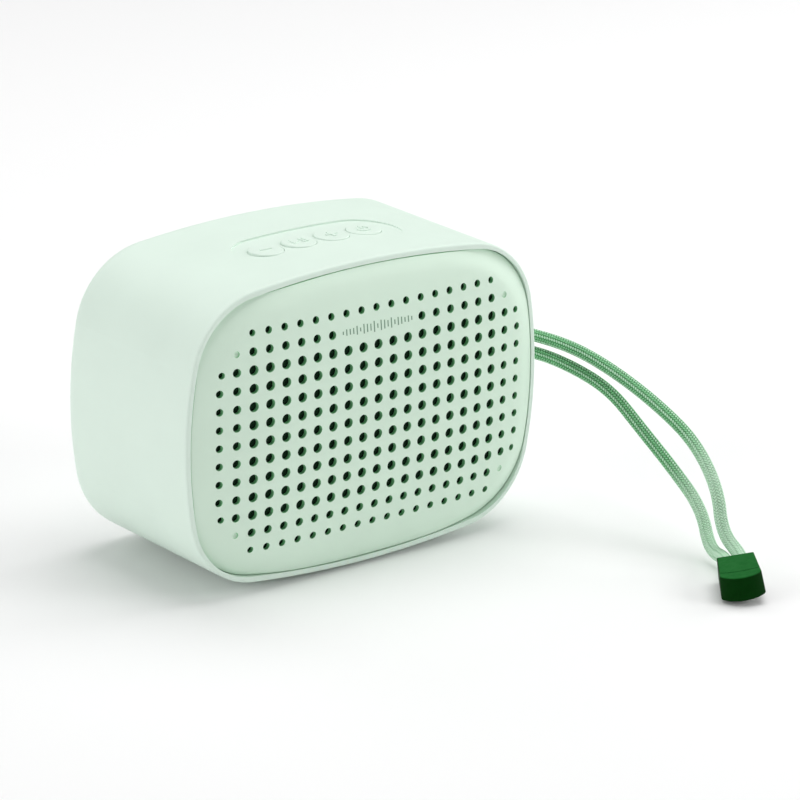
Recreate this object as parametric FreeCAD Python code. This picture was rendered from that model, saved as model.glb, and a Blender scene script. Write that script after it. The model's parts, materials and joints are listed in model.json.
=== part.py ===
"""Shower speaker: tub housing, domed perforated grille, four top keys, rear port flap, wrist lanyard.

Frame: millimetres, +Z up, grille facing -Y, origin on the table under the middle of the body.
"""
import FreeCAD
import Part
import math
import os

from FreeCAD import Vector

# --- driving dimensions -------------------------------------------------------------------------
BODY_HALF_W = 47.25
BODY_HALF_H = 34.2
BODY_DEPTH = 49.0
BODY_CLEARANCE = 0.8          # lowest point of the body above the table
BODY_ARCS = (248.0, 95.0, 18.9)   # radii of the top, side and corner arcs
BACK_EDGE_R = 3.5
RIM_EDGE_R = 0.5
RIM_SETBACK = 4.3             # rim behind the apex of the grille
LEDGE_DEPTH = 2.5             # grille seat behind the rim
WALL = 2.2
BAFFLE_T = 2.0

PANEL_HALF_W = 45.9
PANEL_HALF_H = 32.8
PANEL_ARCS = (230.0, 95.0, 16.5)
PANEL_GAP = 0.15
PANEL_THICKNESS = 0.95
PANEL_EDGE_R = 0.15
GRID_RAISE = 0.2              # dome and hole grid above the middle of the body
DOME_X2, DOME_Z2 = 6.9e-4, 1.14e-3   # depth of the dome behind its apex, per mm^2 and mm^4
DOME_X4, DOME_Z4, DOME_XZ = 5.6e-7, 2.15e-6, -7.6e-7
EDGE_DEPTH = 4.4              # level edge of the face behind the apex
ROLL_POWER = 3.1              # rounded-rectangle power that follows the outline
ROLL_START = 0.72             # share of the way out at which the face starts to roll down to its edge
ROLL_SLOPE = 8.0              # depth gained per unit of that share beyond the edge

HOLE_PITCH = 4.0
HOLE_D_INNER, HOLE_D_SECOND, HOLE_D_OUTER, HOLE_D_END = 2.2, 1.9, 1.65, 1.45
CORNER_HOLE_X, CORNER_HOLE_Z = 39.5, 15.9   # last hole of the outer columns, drawn in from the grid
DIMPLE_DEPTH = 0.5
DIMPLE_BALL_R = 0.75

KEY_D = 7.8
KEY_PITCH = 8.75
KEY_ROW_X, KEY_Y = -0.5, -2.2       # middle of the row of keys
KEY_CLEARANCE = 0.1
TRAY_X = 0.2
TRAY_LENGTH, TRAY_WIDTH = 41.8, 17.0
TRAY_TILT_DEG = 1.3

CORD_D = 2.9
BAR_D = 3.0

# --- levels worked out from them ----------------------------------------------------------------
FRONT_Y = -BODY_DEPTH / 2
BACK_Y = BODY_DEPTH / 2
MID_Z = BODY_CLEARANCE + BODY_HALF_H
GRID_Z = MID_Z + GRID_RAISE
TOP_Z = MID_Z + BODY_HALF_H
RIM_Y = FRONT_Y + RIM_SETBACK
LEDGE_Y = RIM_Y + LEDGE_DEPTH
BACK_INNER_Y = BACK_Y - WALL
BAFFLE_BACK_Y = LEDGE_Y + BAFFLE_T

ALONG_X = Vector(1, 0, 0)
ALONG_Y = Vector(0, 1, 0)
ALONG_Z = Vector(0, 0, 1)
UNIT = {"x": ALONG_X, "y": ALONG_Y, "z": ALONG_Z}


# --- small shape helpers ------------------------------------------------------------------------
def save(node, *shapes):
    """Write one node: a single solid, or a group of equal loose solids."""
    solids = [solid for shape in shapes for solid in shape.Solids]
    for solid in solids:
        if not solid.isValid() or not solid.isClosed():
            raise ValueError(node + " holds a bad solid")
    whole = solids[0] if len(solids) == 1 else Part.makeCompound(solids)
    whole.exportStep("parts/" + node + ".step")


def rod(radius, start, end):
    """Round bar between two points."""
    span = end - start
    return Part.makeCylinder(radius, span.Length, start, span)


def tube(outer_r, inner_r, start, end):
    """Round tube between two points."""
    return rod(outer_r, start, end).cut(rod(inner_r, start, end))


def block(x, y, z, round_along=None, radius=0.0):
    """Box from three (low, high) pairs, with the edges along one axis rounded."""
    box = Part.makeBox(x[1] - x[0], y[1] - y[0], z[1] - z[0], Vector(x[0], y[0], z[0]))
    if round_along is None:
        return box
    axis = UNIT[round_along]
    edges = [e for e in box.Edges if abs(e.tangentAt(e.FirstParameter).dot(axis)) > 0.99]
    return box.makeFillet(radius, edges)


def slab(wire, y_low, y_high):
    """Prism along Y of an outline drawn in the XZ plane at y = 0."""
    face = Part.Face(wire)
    face.translate(Vector(0, y_low, 0))
    return face.extrude(Vector(0, y_high - y_low, 0))


def revolved(points, centre_z=MID_Z):
    """Solid of revolution about the speaker axis from (radius, y) points."""
    corners = [Vector(r, y, centre_z) for r, y in points]
    face = Part.Face(Part.makePolygon(corners + corners[:1]))
    return face.revolve(Vector(0, 0, centre_z), ALONG_Y, 360)


def arc_outline(half_w, half_h, arcs, inset=0.0):
    """Closed outline of eight tangent arcs: flat-crowned top, bottom and sides, round corners."""
    half_w, half_h = half_w - inset, half_h - inset
    top_r, side_r, corner_r = [r - inset for r in arcs]
    top_c = Vector(0, 0, half_h - top_r)
    side_c = Vector(half_w - side_r, 0, 0)
    reach_top, reach_side = top_r - corner_r, side_r - corner_r
    apart = side_c - top_c
    span = apart.Length
    apart.normalize()
    along = (span ** 2 + reach_top ** 2 - reach_side ** 2) / (2 * span)
    across = math.sqrt(reach_top ** 2 - along ** 2)
    corner_c = top_c + apart * along + Vector(apart.z, 0, -apart.x) * across
    to_top = (corner_c - top_c).normalize()
    to_side = (corner_c - side_c).normalize()
    to_mid = (to_top + to_side).normalize()
    a = corner_c + to_top * corner_r
    m = corner_c + to_mid * corner_r
    b = corner_c + to_side * corner_r

    def at(point, sx, sz):
        return Vector(point.x * sx, 0, point.z * sz + MID_Z)

    top = Vector(0, 0, half_h)
    side = Vector(half_w, 0, 0)
    loop = [
        (at(a, -1, 1), at(top, 1, 1), at(a, 1, 1)),
        (at(a, 1, 1), at(m, 1, 1), at(b, 1, 1)),
        (at(b, 1, 1), at(side, 1, 1), at(b, 1, -1)),
        (at(b, 1, -1), at(m, 1, -1), at(a, 1, -1)),
        (at(a, 1, -1), at(top, 1, -1), at(a, -1, -1)),
        (at(a, -1, -1), at(m, -1, -1), at(b, -1, -1)),
        (at(b, -1, -1), at(side, -1, 1), at(b, -1, 1)),
        (at(b, -1, 1), at(m, -1, 1), at(a, -1, 1)),
    ]
    return Part.Wire([Part.Arc(*points).toShape() for points in loop])


def body_outline(inset=0.0):
    return arc_outline(BODY_HALF_W, BODY_HALF_H, BODY_ARCS, inset)


def panel_outline(inset=0.0):
    return arc_outline(PANEL_HALF_W, PANEL_HALF_H, PANEL_ARCS, inset)


def edges_at_y(shape, y):
    """Edges lying wholly in the plane at this y."""
    return [e for e in shape.Edges if all(abs(v.Y - y) < 1e-4 for v in e.Vertexes)]


def crown_drop(x):
    """How far the crowned top has fallen below its middle at this x."""
    return x * x / (2 * BODY_ARCS[0])


def four_corners(x, z):
    """The four mirrored (x, z) places about the middle of the body."""
    return [(sx * x, MID_Z + sz * z) for sx in (-1, 1) for sz in (-1, 1)]


# --- housing ------------------------------------------------------------------------------------
HOLLOW_EDGE_R = 2.0
POST_X, POST_Z, POST_R = 37.5, 21.5, 3.2
SCREW_R, PILOT_R = 0.95, 1.0
STANDOFF_X = 30.0
STANDOFF_Y = (2.0, 17.0)
BOARD_Z = 8.8
KEY_BOARD_Z = 58.0
KEY_BOARD_T = 1.2
KEY_POST_X = 22.0
BRACKET_X, BRACKET_Z = 27.5, 38.0
BRACKET_BOSS_Y = 19.0

BAR_X, BAR_Y = 42.3, 8.0
POCKET_DEPTH_X = 37.2
POCKET_HALF_Y, POCKET_HALF_Z = 4.5, 6.8
POCKET_WALL = 1.8

FLAP_HALF_W = 16.0
FLAP_HIGH = 16.3
FLAP_T = 1.2
FLAP_GAP = 0.15
FLAP_AXIS_Z = 7.3
BARREL_R = 0.6
FLAP_AXIS_Y = BACK_Y - 0.7
FLAP_PIN_R = 0.35
PORT_Z, JACK_Z = 12.6, 12.9
USB_X, CARD_X, JACK_X = -10.5, 0.5, 11.3


def key_centres():
    """The (x, z of the crowned top before the tray is cut) of the four keys, left to right."""
    xs = [KEY_ROW_X + (i - 1.5) * KEY_PITCH for i in range(4)]
    return [(x, TOP_Z - crown_drop(x)) for x in xs]


def tub():
    """Outer body with rounded back and front edges, hollowed from the front."""
    outer = slab(body_outline(), RIM_Y, BACK_Y)
    outer = outer.makeFillet(BACK_EDGE_R, edges_at_y(outer, BACK_Y))
    outer = outer.makeFillet(RIM_EDGE_R, edges_at_y(outer, RIM_Y))
    hollow = slab(body_outline(WALL), LEDGE_Y - 0.01, BACK_INNER_Y)
    hollow = hollow.makeFillet(HOLLOW_EDGE_R, edges_at_y(hollow, BACK_INNER_Y))
    mouth = slab(panel_outline(-PANEL_GAP), RIM_Y - 1, LEDGE_Y)
    return outer.cut(hollow).cut(mouth)


def key_tray():
    """Cutter for the shallow dished tray: it fades out at the front and is deepest at the back."""
    half_run = (TRAY_LENGTH - TRAY_WIDTH) / 2
    end_r = TRAY_WIDTH / 2
    low, high = TOP_Z - 6, TOP_Z + 4
    ends = (TRAY_X - half_run, TRAY_X + half_run)
    plan = block(ends, (KEY_Y - end_r, KEY_Y + end_r), (low, high))
    for x in ends:
        plan = plan.fuse(rod(end_r, Vector(x, KEY_Y, low), Vector(x, KEY_Y, high)))
    kept = slab(body_outline(), FRONT_Y - 10, BACK_Y + 10)
    kept.rotate(Vector(0, KEY_Y - end_r, TOP_Z), ALONG_X, -TRAY_TILT_DEG)
    return plan.cut(kept).removeSplitter()


def port_openings():
    """Cutters for the flap recess, its finger notch, the three sockets and the hinge pin holes."""
    recess_half = FLAP_HALF_W + FLAP_GAP
    through = (BACK_INNER_Y - 1, BACK_Y)
    recess = block((-recess_half, recess_half), (BACK_Y - FLAP_T - 0.2, BACK_Y + 1),
                   (FLAP_AXIS_Z - BARREL_R - 0.12, FLAP_HIGH + FLAP_GAP), "y", 0.3)
    notch = rod(2.2, Vector(0, BACK_Y - 1.0, FLAP_HIGH), Vector(0, BACK_Y + 1, FLAP_HIGH))
    usb = block((USB_X - 4.8, USB_X + 4.8), through, (PORT_Z - 2.25, PORT_Z + 1.6), "y", 1.5)
    card = block((CARD_X - 5.7, CARD_X + 5.7), through, (PORT_Z - 2.25, PORT_Z - 0.5))
    jack = rod(2.7, Vector(JACK_X, through[0], JACK_Z), Vector(JACK_X, through[1], JACK_Z))
    pins = rod(FLAP_PIN_R + 0.05, Vector(-FLAP_HALF_W - 1.2, FLAP_AXIS_Y, FLAP_AXIS_Z),
               Vector(FLAP_HALF_W + 1.2, FLAP_AXIS_Y, FLAP_AXIS_Z))
    return [recess, notch, usb, card, jack, pins]


def main_housing():
    shape = tub()
    inside = slab(body_outline(WALL - 0.5), LEDGE_Y, BACK_INNER_Y + 0.5)
    adds = [rod(POST_R, Vector(x, BAFFLE_BACK_Y, z), Vector(x, BACK_INNER_Y + 1, z))
            for x, z in four_corners(POST_X, POST_Z)]
    cuts = [rod(PILOT_R, Vector(x, BAFFLE_BACK_Y - 1, z), Vector(x, BAFFLE_BACK_Y + 9, z))
            for x, z in four_corners(POST_X, POST_Z)]
    for x in (-STANDOFF_X, STANDOFF_X):
        for y in STANDOFF_Y:
            adds.append(rod(2.4, Vector(x, y, BODY_CLEARANCE), Vector(x, y, BOARD_Z)))
            cuts.append(rod(PILOT_R, Vector(x, y, BOARD_Z - 4.6), Vector(x, y, BOARD_Z + 1)))
    for x in (-KEY_POST_X, KEY_POST_X):
        board_top = KEY_BOARD_Z + KEY_BOARD_T
        adds.append(rod(2.6, Vector(x, KEY_Y, board_top), Vector(x, KEY_Y, TOP_Z)))
        cuts.append(rod(PILOT_R, Vector(x, KEY_Y, board_top - 1), Vector(x, KEY_Y, board_top + 5)))
    for x in (-BRACKET_X, BRACKET_X):
        adds.append(rod(2.4, Vector(x, BRACKET_BOSS_Y, BRACKET_Z), Vector(x, BACK_Y, BRACKET_Z)))
        cuts.append(rod(PILOT_R, Vector(x, BRACKET_BOSS_Y - 1, BRACKET_Z),
                        Vector(x, BRACKET_BOSS_Y + 4, BRACKET_Z)))
    adds.append(block((POCKET_DEPTH_X - POCKET_WALL, BODY_HALF_W),
                      (BAR_Y - POCKET_HALF_Y - POCKET_WALL, BAR_Y + POCKET_HALF_Y + POCKET_WALL),
                      (MID_Z - POCKET_HALF_Z - POCKET_WALL, MID_Z + POCKET_HALF_Z + POCKET_WALL), "x", 4.5))
    for piece in adds:
        shape = shape.fuse(piece.common(inside))
    cuts.append(block((POCKET_DEPTH_X, BODY_HALF_W + 1), (BAR_Y - POCKET_HALF_Y, BAR_Y + POCKET_HALF_Y),
                      (MID_Z - POCKET_HALF_Z, MID_Z + POCKET_HALF_Z), "x", 3.0))
    cuts.append(lanyard_bar())
    cuts.append(key_tray())
    for x, z in key_centres():
        cuts.append(rod(KEY_D / 2 + KEY_CLEARANCE, Vector(x, KEY_Y, z - 6), Vector(x, KEY_Y, z + 2)))
    for place in foot_places():
        cuts.append(foot_socket(place))
    return shape.cut(cuts + port_openings()).removeSplitter()


# --- front --------------------------------------------------------------------------------------
def dome_depth(x, z):
    """How far the grille face lies behind its apex: a dome that rolls down to a level edge."""
    x2, z2 = x * x, z * z
    dome = DOME_X2 * x2 + DOME_Z2 * z2 + DOME_X4 * x2 * x2 + DOME_Z4 * z2 * z2 + DOME_XZ * x2 * z2
    outwards = (abs(x) / PANEL_HALF_W) ** ROLL_POWER + (abs(z) / PANEL_HALF_H) ** ROLL_POWER
    if outwards <= ROLL_START:
        return dome
    if outwards >= 1:
        return EDGE_DEPTH + ROLL_SLOPE * (outwards - 1)
    blend = ((outwards - ROLL_START) / (1 - ROLL_START)) ** 2
    return dome + (EDGE_DEPTH - dome) * blend


def behind_dome(shift):
    """Everything behind the domed face moved back by shift."""
    step = 2.0
    xs = [step * i for i in range(-24, 25)]
    zs = [step * i for i in range(-18, 19)]
    grid = [[Vector(x, FRONT_Y + shift + dome_depth(x, z), GRID_Z + z) for z in zs] for x in xs]
    surface = Part.BSplineSurface()
    surface.interpolate(grid)
    return surface.toShape().extrude(Vector(0, 24, 0))


def grille_holes():
    """Cutters of the sound holes: (column, row) steps from the middle decide which ring a hole is in."""
    holes = []
    for col in range(-10, 11):
        for row in range(-6, 7):
            i, j = abs(col), abs(row)
            through = (i <= 8 and j <= 6) or j <= 4
            dimple = i == 9 and j == 5
            plain_band = row == 5 and i <= 2
            if plain_band or not (through or dimple):
                continue
            x, z = col * HOLE_PITCH, row * HOLE_PITCH
            face_y = FRONT_Y + dome_depth(x, z)
            if dimple:
                ball = Vector(x, face_y + DIMPLE_DEPTH - DIMPLE_BALL_R, GRID_Z + z)
                holes.append(Part.makeSphere(DIMPLE_BALL_R, ball))
                continue
            if i == 10 and j == 4:
                x, z = math.copysign(CORNER_HOLE_X, x), math.copysign(CORNER_HOLE_Z, z)
            if (i == 8 and j == 6) or (i == 10 and j == 4):
                size = HOLE_D_END
            elif i == 10 or j == 6:
                size = HOLE_D_OUTER
            elif i == 9 or j == 5:
                size = HOLE_D_SECOND
            else:
                size = HOLE_D_INNER
            holes.append(rod(size / 2, Vector(x, FRONT_Y - 1, GRID_Z + z), Vector(x, LEDGE_Y, GRID_Z + z)))
    return holes


PEG_X, PEG_Z = 30.0, 28.3


def front_grille():
    """Domed plate with a skirt that sits on the housing ledge, and four pegs into the baffle."""
    whole = slab(panel_outline(), FRONT_Y - 1, LEDGE_Y).common(behind_dome(0))
    front_edges = [e for e in whole.Edges if max(v.Y for v in e.Vertexes) < LEDGE_Y - 1
                   and abs(e.tangentAt(e.FirstParameter).y) < 0.9 and len(e.Vertexes) == 2]
    whole = whole.makeFillet(PANEL_EDGE_R, front_edges)
    hollow = slab(panel_outline(PANEL_THICKNESS), FRONT_Y - 1, LEDGE_Y + 1)
    plate = whole.cut(hollow.common(behind_dome(PANEL_THICKNESS)))
    inside = behind_dome(PANEL_THICKNESS / 2)
    for x, z in four_corners(PEG_X, PEG_Z):
        boss = rod(1.8, Vector(x, FRONT_Y + 2, z), Vector(x, LEDGE_Y, z)).common(inside)
        peg = rod(1.2, Vector(x, LEDGE_Y - 1, z), Vector(x, BAFFLE_BACK_Y + 1, z))
        plate = plate.fuse([boss, peg])
    return plate.cut(grille_holes()).removeSplitter()


def acoustic_mesh():
    """Thin woven sheet glued behind the holes."""
    wire = arc_outline(42.8, 26.6, (600.0, 300.0, 9.0))
    gap, thickness = 0.05, 0.3
    sheet = behind_dome(PANEL_THICKNESS + gap).cut(behind_dome(PANEL_THICKNESS + gap + thickness))
    return slab(wire, FRONT_Y - 1, LEDGE_Y).common(sheet)


MARK_HALF_W, MARK_BARS = 9.2, 21
MARK_Z = GRID_Z + 5 * HOLE_PITCH
MARK_SKIN = 0.04
BAR_HALF_W = 0.13


def printed_mark():
    """Generic row of sound-level bars printed on the plain band of the grille."""
    ink = behind_dome(-MARK_SKIN).cut(behind_dome(0))
    bars = []
    for i in range(MARK_BARS):
        x = MARK_HALF_W * (2 * i / (MARK_BARS - 1) - 1)
        half_h = 0.35 + 0.85 * abs(math.sin(1.9 * i)) * math.cos(1.3 * x / MARK_HALF_W)
        bar = block((x - BAR_HALF_W, x + BAR_HALF_W), (FRONT_Y - 1, FRONT_Y + 2),
                    (MARK_Z - half_h, MARK_Z + half_h))
        bars.append(bar.common(ink))
    return bars


DRIVER_HOLE_R = 23.6


def speaker_baffle():
    plate = slab(body_outline(WALL + 0.15), LEDGE_Y, BAFFLE_BACK_Y)
    cuts = [rod(DRIVER_HOLE_R, Vector(0, LEDGE_Y - 1, MID_Z), Vector(0, BAFFLE_BACK_Y + 1, MID_Z))]
    for x, z in four_corners(POST_X, POST_Z):
        cuts.append(rod(1.2, Vector(x, LEDGE_Y - 1, z), Vector(x, BAFFLE_BACK_Y + 1, z)))
    for x, z in four_corners(PEG_X, PEG_Z):
        cuts.append(rod(1.25, Vector(x, LEDGE_Y - 1, z), Vector(x, BAFFLE_BACK_Y + 1, z)))
    for x, z in four_corners(DRIVER_SCREW, DRIVER_SCREW):
        cuts.append(rod(PILOT_R, Vector(x, LEDGE_Y + 0.6, z), Vector(x, BAFFLE_BACK_Y + 1, z)))
    return plate.cut(cuts)


def cross_screw(start, direction, length, head_r=1.8, head_h=1.3):
    """Cross-recess screw; start is the seat under the head and direction points along the shank."""
    unit = Vector(direction).normalize()
    shank = rod(SCREW_R, start - unit * 0.2, start + unit * length)
    shape = rod(head_r, start - unit * head_h, start).fuse(shank)
    top = start - unit * head_h
    side = unit.cross(ALONG_X if abs(unit.x) < 0.5 else ALONG_Z).normalize()
    for arm in (side, unit.cross(side)):
        slot = Part.makeBox(2.0, 0.5, 0.7)
        slot.translate(Vector(-1.0, -0.25, 0))
        seat = FreeCAD.Placement(top, FreeCAD.Rotation(arm, unit.cross(arm), unit, "ZXY"))
        slot.Placement = seat * slot.Placement
        shape = shape.cut(slot)
    return shape


# --- loudspeaker driver -------------------------------------------------------------------------
GASKET_T = 0.6
FLANGE_Y = BAFFLE_BACK_Y + GASKET_T
FLANGE_R = 26.8
DRIVER_SCREW = 19.6           # x and z of the four driver screws from the driver axis
EAR_R = 3.2


def driver_parts():
    """Every fixed and moving piece of the driver, by node name."""
    y = FLANGE_Y
    parts = {}
    pull = [Vector(x, 0, z) for x, z in four_corners(DRIVER_SCREW, DRIVER_SCREW)]
    gasket = tube(FLANGE_R, 24.4, Vector(0, y - GASKET_T, MID_Z), Vector(0, y, MID_Z))
    parts["driver_gasket"] = gasket.cut([rod(1.4, p + Vector(0, -30, 0), p + Vector(0, 0, 0)) for p in pull])
    basket = revolved([(23.4, y), (FLANGE_R, y), (FLANGE_R, y + 1), (24.6, y + 1), (17.8, y + 10.6),
                       (14.8, y + 14), (7.6, y + 14), (7.6, y + 13), (13.5, y + 13), (15.2, y + 9.8),
                       (16.8, y + 9.8), (23.4, y + 1)])
    for p in pull:
        ear = rod(EAR_R, p + Vector(0, y, 0), p + Vector(0, y + 1, 0))
        basket = basket.fuse(ear)
    window = block((-8, 8), (y + 2.4, y + 8.6), (MID_Z, MID_Z + 30), "y", 2.0)
    for turn in (0, 90, 180, 270):
        cutter = window.copy()
        cutter.rotate(Vector(0, 0, MID_Z), ALONG_Y, turn)
        basket = basket.cut(cutter)
    inner = rod(23.4, Vector(0, y - 1, MID_Z), Vector(0, y + 0.5, MID_Z))
    basket = basket.cut([inner] + [rod(1.1, p + Vector(0, y - 1, 0), p + Vector(0, y + 2, 0)) for p in pull])
    parts["driver_basket"] = basket.removeSplitter()
    parts["driver_top_plate"] = tube(14.5, 7.5, Vector(0, y + 14, MID_Z), Vector(0, y + 17, MID_Z))
    parts["driver_magnet"] = tube(16.0, 9.0, Vector(0, y + 17, MID_Z), Vector(0, y + 24, MID_Z))
    parts["driver_yoke"] = revolved([(0, y + 14), (6.3, y + 14), (6.3, y + 24), (15.2, y + 24),
                                     (15.2, y + 25.4), (14.6, y + 26), (0, y + 26)])
    parts["voice_coil"] = revolved([(6.6, y + 5.8), (6.75, y + 5.8), (6.75, y + 12.9), (7.2, y + 12.9),
                                    (7.2, y + 17.6), (6.6, y + 17.6)])
    parts["speaker_cone"] = revolved([(18.6, y), (18.6, y + 0.4), (6.75, y + 6.6), (6.75, y + 6.15)])
    parts["dust_cap"] = dust_cap(y + 5.4)
    parts["cone_surround"] = surround(y)
    parts["driver_spider"] = spider(y + 9.8)
    return parts


def dust_cap(base_y):
    """Shallow domed cap glued over the middle of the cone."""
    rim_r, rise, skin = 7.3, 2.6, 0.3
    ball_r = (rim_r ** 2 + rise ** 2) / (2 * rise)
    centre = Vector(0, base_y - rise + ball_r, MID_Z)
    shell = Part.makeSphere(ball_r, centre).cut(Part.makeSphere(ball_r - skin, centre))
    return shell.common(rod(rim_r, Vector(0, base_y - 2 * rise, MID_Z), Vector(0, base_y - 0.02, MID_Z)))


def surround(flange_y):
    """Half-roll rubber surround between the flange and the edge of the cone."""
    roll_r, skin, lip = 2.1, 0.3, 0.45
    mid_r = 21.25
    z = MID_Z

    def pt(r, y):
        return Vector(r, flange_y + y, z)

    inner_r = roll_r - skin
    outer = Part.Arc(pt(mid_r - roll_r, -skin), pt(mid_r, -skin - roll_r), pt(mid_r + roll_r, -skin))
    inner = Part.Arc(pt(mid_r + inner_r, -skin), pt(mid_r, -skin - inner_r), pt(mid_r - inner_r, -skin))
    out_end, in_end = mid_r + roll_r + lip + 0.5, mid_r - roll_r - lip - 0.05
    edges = [
        outer.toShape(),
        Part.LineSegment(pt(mid_r + roll_r, -skin), pt(out_end, -skin)).toShape(),
        Part.LineSegment(pt(out_end, -skin), pt(out_end, 0)).toShape(),
        Part.LineSegment(pt(out_end, 0), pt(mid_r + inner_r, 0)).toShape(),
        Part.LineSegment(pt(mid_r + inner_r, 0), pt(mid_r + inner_r, -skin)).toShape(),
        inner.toShape(),
        Part.LineSegment(pt(mid_r - inner_r, -skin), pt(mid_r - inner_r, 0)).toShape(),
        Part.LineSegment(pt(mid_r - inner_r, 0), pt(in_end, 0)).toShape(),
        Part.LineSegment(pt(in_end, 0), pt(in_end, -skin)).toShape(),
        Part.LineSegment(pt(in_end, -skin), pt(mid_r - roll_r, -skin)).toShape(),
    ]
    return Part.Face(Part.Wire(edges)).revolve(Vector(0, 0, z), ALONG_Y, 360)


def spider(ledge_y):
    """Corrugated cloth disc that centres the voice coil."""
    skin, wave, folds = 0.25, 0.35, 6
    r_in, r_flat, r_out = 7.25, 15.2, 16.3
    front = [(r_in, ledge_y - skin - 0.3)]
    for i in range(1, 2 * folds):
        r = r_in + (r_flat - r_in) * i / (2 * folds)
        front.append((r, ledge_y - skin - 0.3 + (wave if i % 2 else -wave) / 2))
    front += [(r_flat, ledge_y - skin), (r_out, ledge_y - skin)]
    back = [(r, y + skin) for r, y in reversed(front)]
    return revolved(front + back)


# --- keys on top --------------------------------------------------------------------------------
KEY_PROUD = 0.35
ICON_H = 0.18
TRAY_MID_DEPTH = math.tan(math.radians(TRAY_TILT_DEG)) * TRAY_WIDTH / 2
STEM_BOTTOM_Z = 62.5


def icon(name, x, z):
    """Raised generic mark on a key: minus, play-pause, plus or power."""
    low, high = z - 0.1, z + ICON_H

    def bar(dx, dy, half_x, half_y):
        mid_x, mid_y = x + dx, KEY_Y + dy
        return block((mid_x - half_x, mid_x + half_x), (mid_y - half_y, mid_y + half_y), (low, high))

    if name == "minus":
        return [bar(0, 0, 1.5, 0.28)]
    if name == "plus":
        return [bar(0, 0, 1.5, 0.28), bar(0, 0, 0.28, 1.5)]
    if name == "play":
        corners = [Vector(x + dx, KEY_Y + dy, low) for dx, dy in ((-1.9, -1.3), (0.1, 0.0), (-1.9, 1.3))]
        face = Part.Face(Part.makePolygon(corners + corners[:1]))
        return [face.extrude(Vector(0, 0, high - low)), bar(0.85, 0, 0.22, 1.3), bar(1.75, 0, 0.22, 1.3)]
    ring = tube(1.6, 1.15, Vector(x, KEY_Y, low), Vector(x, KEY_Y, high))
    ring = ring.cut(block((x - 0.7, x + 0.7), (KEY_Y + 0.3, KEY_Y + 3), (low - 1, high + 1)))
    return [ring, bar(0, 1.1, 0.24, 0.9)]


def key(name, x, crown_z):
    """Round key: dished cap, retaining flange under the wall and a stem down to its switch."""
    floor_z = crown_z - TRAY_MID_DEPTH
    top = floor_z + KEY_PROUD
    under = TOP_Z - WALL - crown_drop(abs(x) + KEY_D / 2) - 0.15
    cap = rod(KEY_D / 2, Vector(x, KEY_Y, under - 0.4), Vector(x, KEY_Y, top))
    rim = [e for e in cap.Edges if len(e.Vertexes) == 1 and abs(e.Vertexes[0].Z - top) < 1e-4]
    cap = cap.makeFillet(0.35, rim)
    flange = block((x - 3.9, x + 3.9), (KEY_Y - 5.2, KEY_Y + 5.2), (under - 0.8, under), "z", 1.0)
    stem = rod(1.5, Vector(x, KEY_Y, STEM_BOTTOM_Z), Vector(x, KEY_Y, under))
    return cap.fuse([flange, stem] + icon(name, x, top)).removeSplitter()


def tact_switch(x):
    """Small push switch under a key."""
    z = KEY_BOARD_Z + KEY_BOARD_T
    case = block((x - 2.25, x + 2.25), (KEY_Y - 2.25, KEY_Y + 2.25), (z, z + 2.0), "z", 0.4)
    return case.fuse(rod(1.2, Vector(x, KEY_Y, z + 2.0), Vector(x, KEY_Y, STEM_BOTTOM_Z - 0.5)))


def key_board():
    z = KEY_BOARD_Z
    board = block((-26, 26), (KEY_Y - 5.5, KEY_Y + 5.5), (z, z + KEY_BOARD_T), "z", 2.0)
    for x in (-KEY_POST_X, KEY_POST_X):
        board = board.cut(rod(1.15, Vector(x, KEY_Y, z - 1), Vector(x, KEY_Y, z + 3)))
    return board


# --- electronics --------------------------------------------------------------------------------
BOARD_T = 1.6
BOARD_TOP = BOARD_Z + BOARD_T
BOARD_BACK_Y = BACK_INNER_Y - 0.6


def main_board():
    board = block((-34, 34), (-2, BOARD_BACK_Y), (BOARD_Z, BOARD_TOP), "z", 1.5)
    for x in (-STANDOFF_X, STANDOFF_X):
        for y in STANDOFF_Y:
            board = board.cut(rod(1.15, Vector(x, y, BOARD_Z - 1), Vector(x, y, BOARD_TOP + 1)))
    return board


def usb_socket():
    """Oval charging socket with its contact tongue."""
    z = (BOARD_TOP, BOARD_TOP + 3.2)
    shell = block((USB_X - 4.47, USB_X + 4.47), (BACK_INNER_Y - 6.6, BACK_INNER_Y + 0.7), z, "y", 1.5)
    mouth = block((USB_X - 4.15, USB_X + 4.15), (BACK_INNER_Y - 5.8, BACK_INNER_Y + 2),
                  (z[0] + 0.3, z[1] - 0.3), "y", 1.2)
    tongue = block((USB_X - 3.3, USB_X + 3.3), (BACK_INNER_Y - 6.0, BACK_INNER_Y + 0.1),
                   (z[0] + 1.25, z[1] - 1.25))
    return shell.cut(mouth).fuse(tongue)


def card_slot():
    x, y = (CARD_X - 5.5, CARD_X + 5.5), (BACK_INNER_Y - 13, BACK_INNER_Y - 0.3)
    case = block(x, y, (BOARD_TOP, BOARD_TOP + 1.5))
    slit = block((x[0] + 0.4, x[1] - 0.4), (y[0] + 2, y[1] + 1), (BOARD_TOP + 0.35, BOARD_TOP + 1.15))
    return case.cut(slit)


def audio_jack():
    case = block((JACK_X - 3.0, JACK_X + 3.0), (BACK_INNER_Y - 12, BACK_INNER_Y - 0.3),
                 (BOARD_TOP, BOARD_TOP + 5.0))
    nose = rod(2.5, Vector(JACK_X, BACK_INNER_Y - 0.5, JACK_Z), Vector(JACK_X, BACK_INNER_Y + 0.7, JACK_Z))
    bore = rod(1.8, Vector(JACK_X, BACK_INNER_Y - 11, JACK_Z), Vector(JACK_X, BACK_INNER_Y + 1, JACK_Z))
    return case.fuse(nose).cut(bore).removeSplitter()


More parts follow.
